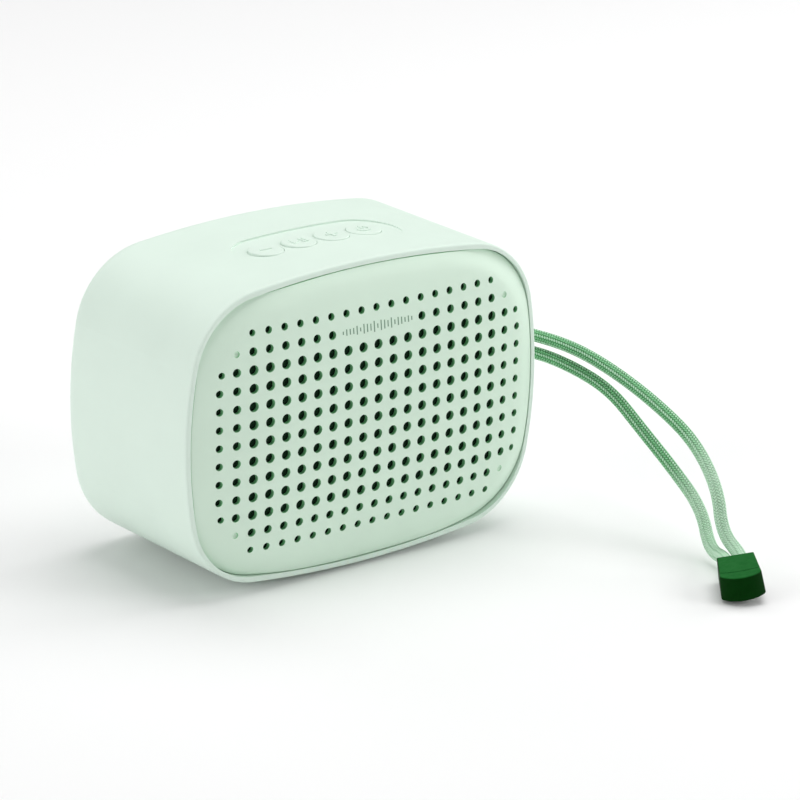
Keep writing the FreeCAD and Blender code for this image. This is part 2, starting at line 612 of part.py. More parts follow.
def radio_module():
    """Screened wireless module: thin carrier with a folded can on it."""
    carrier = block((-27, -13), (0.5, 12.5), (BOARD_TOP, BOARD_TOP + 0.8))
    return carrier.fuse(block((-26, -14), (1.5, 9.5), (BOARD_TOP + 0.8, BOARD_TOP + 2.4), "z", 0.6))


def amplifier_chip():
    return block((4, 9), (1, 6), (BOARD_TOP, BOARD_TOP + 0.9))


def capacitors():
    return [rod(2.5, Vector(x, 3.5, BOARD_TOP), Vector(x, 3.5, BOARD_TOP + 5.4)) for x in (15.0, 21.5)]


SOCKET_H = 3.4


def lead_sockets():
    """Board headers for the battery, speaker and key-board leads."""
    places = [(-3.0, 4.5), (-9.5, 4.5), (25.0, 11.0)]
    z = (BOARD_TOP, BOARD_TOP + SOCKET_H)
    return [block((x - 2.6, x + 2.6), (y - 2.1, y + 2.1), z) for x, y in places]


CELL_X, CELL_Y, CELL_Z = 23.0, (12.9, 19.7), (21.0, 55.0)


def battery_cell():
    return block((-CELL_X, CELL_X), CELL_Y, CELL_Z, "z", 3.0)


def battery_pad():
    return block((-20, 20), (CELL_Y[1], BACK_INNER_Y), (24, 52), "y", 2.0)


def battery_bracket():
    """Strap across the cell with a foot at each end on a housing boss."""
    z = (BRACKET_Z - 4, BRACKET_Z + 4)
    foot_y = (BRACKET_BOSS_Y - 1.5, BRACKET_BOSS_Y)
    strap = block((-CELL_X - 1.6, CELL_X + 1.6), (CELL_Y[0] - 1.1, CELL_Y[0]), z)
    for side in (-1, 1):
        inner, outer = side * CELL_X, side * (CELL_X + 1.6)
        strap = strap.fuse(block(sorted((inner, outer)), (CELL_Y[0] - 1.1, BRACKET_BOSS_Y), z))
        foot = block(sorted((inner, side * (BRACKET_X + 3))), foot_y, z)
        hole = rod(1.15, Vector(side * BRACKET_X, 10, BRACKET_Z), Vector(side * BRACKET_X, 30, BRACKET_Z))
        strap = strap.fuse(foot).cut(hole)
    return strap.removeSplitter()


# --- port flap ----------------------------------------------------------------------------------
def port_cover():
    """Rubber flap over the sockets, hinged along its lower edge on two moulded pins."""
    half, pin_end = FLAP_HALF_W, FLAP_HALF_W + 1.0
    y = (BACK_Y - FLAP_T - 0.1, BACK_Y - 0.1)
    plate = block((-half, half), y, (FLAP_AXIS_Z, FLAP_HIGH), "y", 0.5)
    low = block((-half, half), y, (FLAP_AXIS_Z, FLAP_AXIS_Z + 2))
    axis = Vector(0, FLAP_AXIS_Y, FLAP_AXIS_Z)
    barrel = rod(BARREL_R, axis - ALONG_X * half, axis + ALONG_X * half)
    pins = rod(FLAP_PIN_R, axis - ALONG_X * pin_end, axis + ALONG_X * pin_end)
    return plate.fuse([low, barrel, pins]).removeSplitter()


# --- feet ---------------------------------------------------------------------------------------
FOOT_R = 3.6
FOOT_BED = 0.6


def foot_places():
    return [(x, y) for x in (-21.0, 21.0) for y in (-8.0, 13.0)]


def foot_height(place):
    """Gap to fill between the table and the crowned underside at this foot."""
    return BODY_CLEARANCE + crown_drop(place[0]) + FOOT_BED


def foot_socket(place):
    x, y = place
    return rod(FOOT_R + 0.05, Vector(x, y, -1), Vector(x, y, foot_height(place)))


def rubber_foot(place):
    x, y = place
    foot = rod(FOOT_R, Vector(x, y, 0), Vector(x, y, foot_height(place)))
    low_rim = [e for e in foot.Edges if len(e.Vertexes) == 1 and e.Vertexes[0].Z < 0.01]
    return foot.makeFillet(0.4, low_rim)


# --- lanyard ------------------------------------------------------------------------------------
WRAP_R = (BAR_D + CORD_D) / 2 + 0.05
CAP_BACK = Vector(58.55, -75.2, 3.9)      # middle of the end cap's mouth
CAP_AIM = Vector(-0.6, -0.8, 0.0)         # from the mouth to the rounded end
CAP_ROLL_DEG = 10.5
CAP_LENGTH, CAP_BULGE = 11.2, 2.6
CAP_W_MOUTH, CAP_W_END, CAP_H = 8.0, 9.0, 5.35
CAP_SPREAD = 0.3                          # how much further each side reaches at the foot
CAP_CORNER_R, CAP_EDGE_R = 1.0, 0.45
GROOVE_R, GROOVE_W, GROOVE_DEPTH = 14.0, 0.3, 0.06   # shallow bowed line across the top of the cap
GROOVE_FROM_TIP = 1.0
CAP_RECESS = 2.0
MOUTH_LEAD = 4.5                          # straight run of each strand before the mouth
STRAND_GAP = 1.6                          # each strand from the middle of the mouth

UPPER_ROUTE = [
    (BAR_X - WRAP_R, BAR_Y, MID_Z), (BAR_X - WRAP_R, BAR_Y, MID_Z + WRAP_R),
    (49.5, 8.0, 38.1), (56.0, 3.5, 37.1), (60.0, -5.5, 36.9), (62.5, -16.5, 36.2), (64.4, -28.5, 33.2),
    (65.2, -41.5, 29.1), (65.6, -53.0, 24.0), (63.9, -62.5, 16.6), (63.2, -66.5, 7.8),
]
LOWER_ROUTE = [
    (BAR_X - WRAP_R, BAR_Y, MID_Z), (BAR_X - WRAP_R, BAR_Y, MID_Z - WRAP_R),
    (49.5, 8.0, 32.0), (55.5, 3.5, 32.4), (59.4, -5.0, 33.2), (61.9, -15.5, 32.0), (64.1, -26.5, 28.9),
    (64.9, -36.5, 22.2), (65.5, -46.0, 16.2), (65.5, -56.0, 9.7), (62.9, -63.2, 2.8),
]


def cap_rotation():
    """Turn from the cap's own axes (X across, Y towards the mouth, Z up) to where it lies."""
    back = (CAP_AIM * -1).normalize()
    across = back.cross(ALONG_Z).normalize()
    lie = FreeCAD.Rotation(across, back, ALONG_Z, "ZXY")
    return FreeCAD.Rotation(back, -CAP_ROLL_DEG).multiply(lie)


def lanyard_bar():
    reach = POCKET_HALF_Y + POCKET_WALL - 0.4
    return rod(BAR_D / 2, Vector(BAR_X, BAR_Y - reach, MID_Z), Vector(BAR_X, BAR_Y + reach, MID_Z))


def rounded_path(points, fixed_radius):
    """Straight runs joined by tangent arcs; fixed_radius holds the radius of any tight wrap by index."""
    edges, radii = [], []
    here = points[0]
    for i in range(1, len(points) - 1):
        before, corner, after = points[i - 1], points[i], points[i + 1]
        back, ahead = (before - corner), (after - corner)
        shorter = min(back.Length, ahead.Length)
        back.normalize()
        ahead.normalize()
        half_turn = (math.pi - back.getAngle(ahead)) / 2
        radius = fixed_radius.get(i, 0.45 * shorter / math.tan(half_turn))
        trim = radius * math.tan(half_turn)
        start, end = corner + back * trim, corner + ahead * trim
        inward = (back + ahead).normalize()
        middle = corner + inward * (radius / math.cos(half_turn) - radius)
        if (start - here).Length > 1e-6:
            edges.append(Part.LineSegment(here, start).toShape())
        edges.append(Part.Arc(start, middle, end).toShape())
        here = end
        radii.append(round(radius, 1))
    edges.append(Part.LineSegment(here, points[-1]).toShape())
    return Part.Wire(edges), radii


def cord(name, points, diameter, fixed_radius=None):
    """Plain tube along a rounded path, with its radii and volume printed."""
    path, radii = rounded_path(points, fixed_radius or {})
    first = path.Edges[0]
    start = first.valueAt(first.FirstParameter)
    direction = first.tangentAt(first.FirstParameter)
    section = Part.Wire(Part.makeCircle(diameter / 2, start, direction))
    solid = path.makePipeShell([section], True, False)
    if solid.Volume < 0:
        solid.reverse()
    expected = math.pi * diameter ** 2 / 4 * path.Length
    print(name, "radii", radii, "length", round(path.Length, 1), "volume", round(solid.Volume / expected, 4))
    return solid


def strand(name, route, side):
    """One lanyard strand from behind the bar to the floor of the cap's mouth."""
    turn = cap_rotation()
    mouth = CAP_BACK + turn.multVec(Vector(side * STRAND_GAP, MOUTH_LEAD, 0))
    floor = CAP_BACK + turn.multVec(Vector(side * STRAND_GAP, -CAP_RECESS, 0))
    points = [Vector(*p) for p in route] + [mouth, floor]
    return cord(name, points, CORD_D, {1: WRAP_R})


def cap_outline(height, spread):
    """Outline of the end cap at one height: straight sides and a bowed far end."""
    near, far, reach = CAP_W_MOUTH / 2 + spread, CAP_W_END / 2 + spread, CAP_LENGTH + spread
    near_right, near_left = Vector(near, 0, height), Vector(-near, 0, height)
    far_right, far_left = Vector(far, -reach, height), Vector(-far, -reach, height)
    return Part.Wire([
        Part.LineSegment(near_right, far_right).toShape(),
        Part.Arc(far_right, Vector(0, -reach - CAP_BULGE, height), far_left).toShape(),
        Part.LineSegment(far_left, near_left).toShape(),
        Part.LineSegment(near_left, near_right).toShape(),
    ])


def end_cap():
    """Moulded cap: wider at its far end and its foot, with an oval mouth for the strands."""
    half_h = CAP_H / 2
    solid = Part.makeLoft([cap_outline(-half_h, CAP_SPREAD), cap_outline(half_h, 0.0)], True, True)
    upright = [e for e in solid.Edges if e.BoundBox.ZLength > CAP_H - 0.1]
    far_corners = [e for e in upright if e.BoundBox.YMax < -CAP_LENGTH / 2]
    solid = solid.makeFillet(CAP_CORNER_R, far_corners)
    rims = [e for e in solid.Edges if e.BoundBox.ZLength < 0.01]
    solid = solid.makeFillet(CAP_EDGE_R, rims)
    groove_at = Vector(0, GROOVE_R - CAP_LENGTH + GROOVE_FROM_TIP, half_h - GROOVE_DEPTH)
    groove = tube(GROOVE_R, GROOVE_R - GROOVE_W, groove_at, groove_at + ALONG_Z)
    far_half = block((-CAP_W_END, CAP_W_END), (-2 * CAP_LENGTH, -CAP_LENGTH / 2), (0, CAP_H))
    solid = solid.cut(groove.common(far_half))
    mouth_r = CORD_D / 2 + 0.15
    mouth_half = STRAND_GAP + mouth_r
    mouth = block((-mouth_half, mouth_half), (-CAP_RECESS, 1), (-mouth_r, mouth_r), "y", mouth_r - 0.01)
    solid = solid.cut(mouth)
    solid.Placement = FreeCAD.Placement(CAP_BACK, cap_rotation())
    return solid


# --- leads inside -------------------------------------------------------------------------------
def internal_leads():
    """Insulated leads inside the housing, by node name."""
    wire_d = 1.0
    top = BOARD_TOP + SOCKET_H
    speaker, battery = [], []
    for x in (-10.4, -8.6):
        route = [Vector(x, 4.5, top), Vector(x, 4.5, top + 2.6), Vector(x, 1.0, top + 5.6),
                 Vector(x, -2.5, top + 6.2)]
        speaker.append(cord("speaker lead", route, wire_d))
    for x in (-3.9, -2.1):
        route = [Vector(x, 4.5, top), Vector(x, 4.5, top + 2.4), Vector(x, 10.0, top + 4.0),
                 Vector(x, 16.3, top + 4.0), Vector(x, 16.3, CELL_Z[0])]
        battery.append(cord("battery lead", route, wire_d))
    return {"speaker_leads": speaker, "battery_leads": battery}


def key_ribbon():
    """Flat flexible cable from the key board down one side to the main board."""
    x = (22.6, 25.8)
    film = 0.3
    points = [(KEY_Y + 5.2, KEY_BOARD_Z), (9.0, KEY_BOARD_Z - 5), (11.0, KEY_BOARD_Z - 12),
              (11.0, BOARD_TOP + SOCKET_H)]
    wire = [Vector(x[0], y, z) for y, z in points] + [Vector(x[0], y - film, z) for y, z in reversed(points)]
    return Part.Face(Part.makePolygon(wire + wire[:1])).extrude(Vector(x[1] - x[0], 0, 0))


# --- write every node ---------------------------------------------------------------------------
def main():
    os.makedirs("parts", exist_ok=True)
    save("main_housing", main_housing())
    save("front_grille", front_grille())
    save("printed_mark", *printed_mark())
    save("acoustic_mesh", acoustic_mesh())
    save("speaker_baffle", speaker_baffle())
    for node, shape in driver_parts().items():
        save(node, shape)
    save("baffle_screws", *[cross_screw(Vector(x, LEDGE_Y, z), ALONG_Y, 8)
                            for x, z in four_corners(POST_X, POST_Z)])
    save("driver_screws", *[cross_screw(Vector(x, FLANGE_Y + 1, z), ALONG_Y * -1, 2.9)
                            for x, z in four_corners(DRIVER_SCREW, DRIVER_SCREW)])
    for name, (x, z) in zip(("minus", "play", "plus", "power"), key_centres()):
        save(name + "_button", key(name, x, z))
    save("tact_switches", *[tact_switch(x) for x, _ in key_centres()])
    save("key_board", key_board())
    save("key_board_screws", *[cross_screw(Vector(x, KEY_Y, KEY_BOARD_Z), ALONG_Z, 5.4)
                               for x in (-KEY_POST_X, KEY_POST_X)])
    save("main_board", main_board())
    save("main_board_screws", *[cross_screw(Vector(x, y, BOARD_TOP), ALONG_Z * -1, 5.0)
                                for x in (-STANDOFF_X, STANDOFF_X) for y in STANDOFF_Y])
    save("usb_socket", usb_socket())
    save("card_slot", card_slot())
    save("audio_jack", audio_jack())
    save("radio_module", radio_module())
    save("amplifier_chip", amplifier_chip())
    save("capacitors", *capacitors())
    save("lead_sockets", *lead_sockets())
    save("battery_cell", battery_cell())
    save("battery_pad", battery_pad())
    save("battery_bracket", battery_bracket())
    save("bracket_screws", *[cross_screw(Vector(x, BRACKET_BOSS_Y - 1.5, BRACKET_Z), ALONG_Y, 4.4)
                             for x in (-BRACKET_X, BRACKET_X)])
    save("port_cover", port_cover())
    save("rubber_feet", *[rubber_foot(place) for place in foot_places()])
    save("lanyard_bar", lanyard_bar())
    save("lanyard_upper_strand", strand("upper strand", UPPER_ROUTE, 1))
    save("lanyard_lower_strand", strand("lower strand", LOWER_ROUTE, -1))
    save("lanyard_end_cap", end_cap())
    for node, leads in internal_leads().items():
        save(node, *leads)
    save("key_ribbon", key_ribbon())


main()
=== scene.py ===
"""Shower speaker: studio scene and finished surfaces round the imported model.

Lengths are in metres, in the model's own frame, unless a comment says otherwise.
"""
import json
import math

import bpy
import numpy as np
from mathutils import Matrix, Vector


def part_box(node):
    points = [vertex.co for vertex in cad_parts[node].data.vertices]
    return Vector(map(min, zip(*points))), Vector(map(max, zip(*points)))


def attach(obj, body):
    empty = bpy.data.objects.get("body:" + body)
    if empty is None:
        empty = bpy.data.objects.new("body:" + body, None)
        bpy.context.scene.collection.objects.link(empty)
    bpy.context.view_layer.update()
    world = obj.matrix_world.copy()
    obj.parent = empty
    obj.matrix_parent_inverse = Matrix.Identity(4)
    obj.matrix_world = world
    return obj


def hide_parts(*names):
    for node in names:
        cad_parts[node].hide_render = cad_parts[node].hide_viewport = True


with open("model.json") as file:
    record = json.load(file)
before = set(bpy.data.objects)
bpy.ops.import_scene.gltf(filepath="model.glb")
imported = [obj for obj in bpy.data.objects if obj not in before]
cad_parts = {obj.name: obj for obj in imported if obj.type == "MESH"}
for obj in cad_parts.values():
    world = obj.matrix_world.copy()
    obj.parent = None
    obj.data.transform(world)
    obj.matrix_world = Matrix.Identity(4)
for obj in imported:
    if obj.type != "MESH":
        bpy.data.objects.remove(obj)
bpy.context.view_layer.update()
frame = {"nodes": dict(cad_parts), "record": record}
NODES = frame["nodes"]
MM = 0.001

# --- places taken from the model ----------------------------------------------------------------
grille_low, grille_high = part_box("front_grille")
APEX = Vector((0.0, grille_low.y, (grille_low.z + grille_high.z) / 2))
bar_low, bar_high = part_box("lanyard_bar")
BAR = (bar_low + bar_high) / 2

# --- camera -------------------------------------------------------------------------------------
CAMERA_AZIMUTH = math.radians(38.88)      # from straight at the grille, round to its left
CAMERA_ELEVATION = math.radians(18.97)
CAMERA_ROLL = math.radians(-1.21)
CAMERA_DISTANCE = 0.920
CAMERA_AIM = APEX + Vector((4.23, -1.94, 3.51)) * MM
LENS_MM = 194.8
SENSOR_MM = 36
VIEW_DEPTH = 20


def add_camera():
    back = Vector((-math.sin(CAMERA_AZIMUTH) * math.cos(CAMERA_ELEVATION),
                   -math.cos(CAMERA_AZIMUTH) * math.cos(CAMERA_ELEVATION),
                   math.sin(CAMERA_ELEVATION)))
    right = Vector((0, 0, 1)).cross(back).normalized()
    up = back.cross(right)
    turned_right = right * math.cos(CAMERA_ROLL) - up * math.sin(CAMERA_ROLL)
    turned_up = up * math.cos(CAMERA_ROLL) + right * math.sin(CAMERA_ROLL)
    data = bpy.data.cameras.new("camera")
    data.lens = LENS_MM
    data.sensor_width = SENSOR_MM
    data.clip_end = VIEW_DEPTH
    camera = bpy.data.objects.new("camera", data)
    turn = Matrix((turned_right, turned_up, back)).transposed().to_4x4()
    camera.matrix_world = Matrix.Translation(CAMERA_AIM + back * CAMERA_DISTANCE) @ turn
    bpy.context.scene.collection.objects.link(camera)
    bpy.context.scene.camera = camera


add_camera()


# --- small helpers ------------------------------------------------------------------------------
def linear(r, g, b):
    """Scene-linear colour from display values of 0 to 255."""
    return [((c / 255 + 0.055) / 1.055) ** 2.4 for c in (r, g, b)] + [1.0]


def shade(colour, factor):
    """The same colour, lighter or darker."""
    return [c * factor for c in colour[:3]] + [1.0]


def mesh_object(name, verts, faces):
    """A smooth-shaded mesh object in the scene."""
    data = bpy.data.meshes.new(name)
    data.from_pydata([tuple(v) for v in verts], [], faces)
    data.polygons.foreach_set("use_smooth", [True] * len(data.polygons))
    data.update()
    piece = bpy.data.objects.new(name, data)
    bpy.context.scene.collection.objects.link(piece)
    return piece


# --- lanyard, with its routes and its cap in millimetres -----------------------------------------
CORD_D = 2.9 * MM
WRAP_R = 3.0                 # how far each strand turns round behind the bar
BAR_MM = BAR / MM
UPPER_ROUTE = [
    (BAR_MM.x - WRAP_R, BAR_MM.y, BAR_MM.z), (BAR_MM.x - WRAP_R, BAR_MM.y, BAR_MM.z + WRAP_R),
    (49.5, 8.0, 38.1), (56.0, 3.5, 37.1), (60.0, -5.5, 36.9), (62.5, -16.5, 36.2),
    (64.4, -28.5, 33.2), (65.2, -41.5, 29.1), (65.6, -53.0, 24.0), (63.9, -62.5, 16.6),
    (62.5, -66.0, 7.7),
]
LOWER_ROUTE = [
    (BAR_MM.x - WRAP_R, BAR_MM.y, BAR_MM.z), (BAR_MM.x - WRAP_R, BAR_MM.y, BAR_MM.z - WRAP_R),
    (49.5, 8.0, 32.0), (55.5, 3.5, 32.4), (59.4, -5.0, 33.2), (61.9, -15.5, 32.0),
    (64.1, -26.5, 28.9), (64.9, -36.5, 22.2), (65.5, -46.0, 16.2), (65.5, -56.0, 9.7),
    (62.2, -62.7, 2.7),
]
CAP_MOUTH = Vector((58.55, -75.2, 3.9))
CAP_AIM = Vector((-0.6, -0.8, 0.0))
CAP_ROLL = math.radians(10.5)
STRAND_OFFSET = 1.6          # each strand's axis from the middle of the cap
MOUTH_LEAD, MOUTH_DEPTH = 4.5, 2.0


def cap_axes():
    """The end cap's own axes: across, and back towards the mouth."""
    back = -CAP_AIM
    across = back.cross(Vector((0, 0, 1))).normalized()
    return Matrix.Rotation(-CAP_ROLL, 3, back) @ across, back


def strand_route(route, side):
    """Route points of a strand in metres, ended by one in front of the cap's mouth and one inside it."""
    across, back = cap_axes()
    mouth = CAP_MOUTH + across * side * STRAND_OFFSET + back * MOUTH_LEAD
    floor = CAP_MOUTH + across * side * STRAND_OFFSET - back * MOUTH_DEPTH
    return [Vector(p) * MM for p in (*route, mouth, floor)]


def centreline(points):
    """Closely spaced points along the smooth line that a route controls."""
    curve = bpy.data.curves.new("route", "CURVE")
    curve.dimensions = "3D"
    curve.resolution_u = 40
    spline = curve.splines.new("NURBS")
    spline.points.add(len(points) - 1)
    for target, point in zip(spline.points, points):
        target.co = (*point, 1.0)
    spline.order_u = 3
    spline.use_endpoint_u = True
    carrier = bpy.data.objects.new("route", curve)
    line = bpy.data.meshes.new_from_object(carrier)
    path = np.array([v.co[:] for v in line.vertices])
    bpy.data.objects.remove(carrier)
    bpy.data.meshes.remove(line)
    bpy.data.curves.remove(curve)
    return path


def resampled(path, step):
    """The same line at even spacing, with its length."""
    along = np.r_[0, np.cumsum(np.linalg.norm(np.diff(path, axis=0), axis=1))]
    even = np.linspace(0, along[-1], max(2, int(round(along[-1] / step)) + 1))
    return np.column_stack([np.interp(even, along, path[:, k]) for k in range(3)]), along[-1]


def carried_frames(path):
    """Normal and binormal at each point, carried along without twist."""
    tangent = np.gradient(path, axis=0)
    tangent /= np.linalg.norm(tangent, axis=1)[:, None]
    normal = np.cross(tangent[0], [0.0, 0.0, 1.0])
    if np.linalg.norm(normal) < 0.1:
        normal = np.cross(tangent[0], [0.0, 1.0, 0.0])
    normals = []
    for t in tangent:
        normal = normal - t * normal.dot(t)
        normal /= np.linalg.norm(normal)
        normals.append(normal.copy())
    normals = np.array(normals)
    return normals, np.cross(tangent, normals)


CARRIERS = 12                # yarns laid each way round
BRAID_PITCH = 8.0 * MM       # cord length for one turn of a yarn
YARN_HALF_W, YARN_HALF_T = 0.27 * MM, 0.15 * MM
YARN_SIDES = 4
STEPS_PER_CROSSING = 3
YARN_INSET = 1.9             # yarn centres below the cord's surface, in half thicknesses
YARN_RISE = 0.95             # climb over and under the other yarns, in half thicknesses
CROSSING_SNAP = 2.2          # how abruptly a yarn climbs
SWELL_FROM, SWELL_TO, SWELL = 0.80, 0.93, 0.08   # the braid opens up a little before the cap


def braided_strand(name, points):
    """Round braid of flattened yarns that pass two over, two under round a core."""
    smooth = centreline(points)
    step = BRAID_PITCH / (2 * CARRIERS * STEPS_PER_CROSSING)
    path, length = resampled(smooth, step)
    normals, binormals = carried_frames(path)
    along = np.linspace(0, length, len(path))
    verts, faces, tone, run, crown = [], [], [], [], []
    opened = np.clip((along / length - SWELL_FROM) / (SWELL_TO - SWELL_FROM), 0, 1)
    mid_r = (CORD_D / 2 - YARN_HALF_T * YARN_INSET) * (1 + SWELL * opened)
    for way in (1, -1):
        for k in range(CARRIERS):
            turn = way * 2 * math.pi * along / BRAID_PITCH + 2 * math.pi * k / CARRIERS
            crossing = 2 * k + way * 2 * CARRIERS * along / BRAID_PITCH
            lift = way * np.sin(math.pi * crossing / 2 + math.pi / 4)
            radius = mid_r + YARN_HALF_T * YARN_RISE * np.tanh(CROSSING_SNAP * lift)
            out = normals * np.cos(turn)[:, None] + binormals * np.sin(turn)[:, None]
            centre = path + out * radius[:, None]
            heading = np.gradient(centre, axis=0)
            heading /= np.linalg.norm(heading, axis=1)[:, None]
            side = np.cross(heading, out)
            side /= np.linalg.norm(side, axis=1)[:, None]
            first = len(verts)
            for j in range(YARN_SIDES):
                a = 2 * math.pi * (j + 0.5) / YARN_SIDES
                ring = centre + side * YARN_HALF_W * math.cos(a) + out * YARN_HALF_T * math.sin(a)
                verts.extend(ring)
            n = len(path)
            for j in range(YARN_SIDES):
                j2 = (j + 1) % YARN_SIDES
                a0, b0 = first + j * n, first + j2 * n
                faces.extend((a0 + i, a0 + i + 1, b0 + i + 1, b0 + i) for i in range(n - 1))
            faces.append(tuple(first + j * n for j in range(YARN_SIDES)))
            faces.append(tuple(first + j * n + n - 1 for j in reversed(range(YARN_SIDES))))
            tone.extend([1.0 if way == 1 else 0.0] * (n * YARN_SIDES))
            run.extend(list(along / length) * YARN_SIDES)
            crown.extend(list(0.5 + 0.5 * lift) * YARN_SIDES)
    piece = mesh_object(name, verts, faces)
    for label, values in (("yarn_way", tone), ("cord_run", run), ("yarn_crown", crown)):
        attribute = piece.data.attributes.new(label, "FLOAT", "POINT")
        attribute.data.foreach_set("value", values)
    return piece, smooth, length


def add_strand(name, node, route, side):
    """One braided strand of the lanyard in place of its plain tube."""
    points = strand_route(route, side)
    piece, path, length = braided_strand(name, points)
    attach(piece, "body")
    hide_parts(node)
    return piece


upper_strand = add_strand("braided_upper_strand", "lanyard_upper_strand", UPPER_ROUTE, 1)
lower_strand = add_strand("braided_lower_strand", "lanyard_lower_strand", LOWER_ROUTE, -1)


# --- materials ----------------------------------------------------------------------------------
class Shader:
    """A Principled material built up with a few node helpers.

    Texture space is the model's own metres. Feature sizes and bump depths are given in millimetres.
    """

    MIX_FACTOR, MIX_A, MIX_B, MIX_RESULT = 0, 6, 7, 2    # the colour sockets of a Mix node

    def __init__(self, name, colour, roughness, metallic=0.0, specular=0.5):
        self.material = bpy.data.materials.new(name)
        self.material.use_nodes = True
        self.tree = self.material.node_tree
        self.bsdf = self.tree.nodes["Principled BSDF"]
        self.bsdf.inputs["Base Color"].default_value = colour
        self.bsdf.inputs["Roughness"].default_value = roughness
        self.bsdf.inputs["Metallic"].default_value = metallic
        self.bsdf.inputs["Specular IOR Level"].default_value = specular
        self.space = self.node("ShaderNodeTexCoord").outputs["Object"]
        self.height = None

    def node(self, kind, **settings):
        made = self.tree.nodes.new(kind)
        for key, value in settings.items():
            setattr(made, key, value)
        return made

    def link(self, out, into):
        self.tree.links.new(out, into)
        return out

    def noise(self, size_mm, detail=2.0, stretch=None):
        """Noise of about this feature size."""
        texture = self.node("ShaderNodeTexNoise")
        texture.inputs["Scale"].default_value = 1 / (size_mm * MM)
        texture.inputs["Detail"].default_value = detail
        space = self.space
        if stretch:
            mapping = self.node("ShaderNodeMapping")
            mapping.inputs["Scale"].default_value = stretch
            self.link(space, mapping.inputs["Vector"])
            space = mapping.outputs["Vector"]
        self.link(space, texture.inputs["Vector"])
        return texture.outputs["Fac"]

    def ramp(self, value, low, high, start=0.0, end=1.0):
        """Go from start to end as the value goes from low to high, and stay there beyond them."""
        remap = self.node("ShaderNodeMapRange")
        remap.inputs["From Min"].default_value = low
        remap.inputs["From Max"].default_value = high
        remap.inputs["To Min"].default_value = start
        remap.inputs["To Max"].default_value = end
        self.link(value, remap.inputs["Value"])
        return remap.outputs["Result"]

    def mix(self, factor, first, second):
        """Mix two colours, each a list or a socket."""
        blend = self.node("ShaderNodeMix", data_type="RGBA")
        self.link(factor, blend.inputs[self.MIX_FACTOR])
        for index, colour in ((self.MIX_A, first), (self.MIX_B, second)):
            if isinstance(colour, list):
                blend.inputs[index].default_value = colour
            else:
                self.link(colour, blend.inputs[index])
        return blend.outputs[self.MIX_RESULT]

    def facing(self, axis):
        """The surface normal's share along a world axis."""
        parts = self.node("ShaderNodeSeparateXYZ")
        self.link(self.node("ShaderNodeNewGeometry").outputs["Normal"], parts.inputs["Vector"])
        return parts.outputs[axis]

    def mesh_value(self, name):
        """A value that the mesh carries at its points."""
        return self.node("ShaderNodeAttribute", attribute_name=name).outputs["Fac"]

    def colour(self, socket):
        self.link(socket, self.bsdf.inputs["Base Color"])

    def roughness(self, socket):
        self.link(socket, self.bsdf.inputs["Roughness"])

    def bump(self, value, depth_mm, strength=1.0):
        """Add a bump layer; layers chain from the coarsest to the finest."""
        made = self.node("ShaderNodeBump")
        made.inputs["Strength"].default_value = strength
        made.inputs["Distance"].default_value = depth_mm * MM
        self.link(value, made.inputs["Height"])
        if self.height is not None:
            self.link(self.height, made.inputs["Normal"])
        self.height = made.outputs["Normal"]
        self.link(self.height, self.bsdf.inputs["Normal"])


def moulded_plastic(name, colour, roughness=0.48, grain_mm=0.22, grain_depth=0.012, variation=0.03):
    """Spark-textured injection moulding: slow colour drift, fine grain and faint sink."""
    s = Shader(name, colour, roughness)
    s.colour(s.mix(s.noise(14.0, 3), shade(colour, 1 - variation), shade(colour, 1 + variation)))
    s.roughness(s.ramp(s.noise(3.0, 4), 0.3, 0.7, roughness - 0.05, roughness + 0.06))
    s.bump(s.noise(9.0, 1), 0.02, 0.5)
    s.bump(s.noise(grain_mm, 3), grain_depth)
    return s.material


def grille_with_painted_hole_shade(name, face, wall_shade_colour):
    """Pale face with painted shade: the hole walls and the skirt, which turn away from the front, take a
    deeper green.
    """
    s = Shader(name, face, 0.5)
    face_tone = s.mix(s.noise(14.0, 3), shade(face, 0.97), shade(face, 1.03))
    painted_wall_shade = s.mix(s.noise(1.0, 3), shade(wall_shade_colour, 0.88), shade(wall_shade_colour, 1.12))
    # Painted shade: the deeper colour goes where the surface turns away from the front, in the holes and
    # on the skirt.
    s.colour(s.mix(s.ramp(s.facing("Y"), -0.35, -0.75), painted_wall_shade, face_tone))
    s.roughness(s.ramp(s.noise(3.0, 4), 0.3, 0.7, 0.45, 0.56))
    s.bump(s.noise(9.0, 1), 0.02, 0.5)
    s.bump(s.noise(0.22, 3), 0.012)
    return s.material


def soft_rubber(name, colour, roughness=0.7):
    """Matt rubber, foam or paper with slow blotches and a fine tooth."""
    s = Shader(name, colour, roughness, specular=0.35)
    s.colour(s.mix(s.noise(2.5, 5), shade(colour, 0.9), shade(colour, 1.08)))
    s.roughness(s.ramp(s.noise(1.2, 4), 0.3, 0.7, roughness - 0.08, roughness + 0.08))
    s.bump(s.noise(0.35, 4), 0.02)
    return s.material


def metal(name, colour, roughness=0.3, brushed=(1, 1, 12)):
    """Metal with fine streaks; a higher number in brushed makes them finer along that axis."""
    s = Shader(name, colour, roughness, metallic=1.0)
    streaks = s.noise(0.8, 4, brushed)
    s.colour(s.mix(streaks, shade(colour, 0.85), shade(colour, 1.08)))
    s.roughness(s.ramp(streaks, 0.25, 0.75, roughness - 0.08, roughness + 0.12))
    s.bump(streaks, 0.01)
    return s.material


WEAVE_SCALE = 1 / 6          # puts the waves a little under two thread widths apart


def cloth(name, colour, thread_mm):
    """Plain weave that faces the front, from two crossed sets of waves."""
    s = Shader(name, colour, 0.85, specular=0.2)
    waves = []
    for direction in ("X", "Z"):
        wave = s.node("ShaderNodeTexWave", bands_direction=direction)
        wave.inputs["Scale"].default_value = WEAVE_SCALE / (thread_mm * MM)
        s.link(s.space, wave.inputs["Vector"])
        waves.append(wave.outputs["Fac"])
    both = s.node("ShaderNodeMath", operation="MAXIMUM")
    s.link(waves[0], both.inputs[0])
    s.link(waves[1], both.inputs[1])
    s.colour(s.mix(both.outputs[0], shade(colour, 0.5), shade(colour, 1.3)))
    s.bump(both.outputs[0], 0.08)
    return s.material


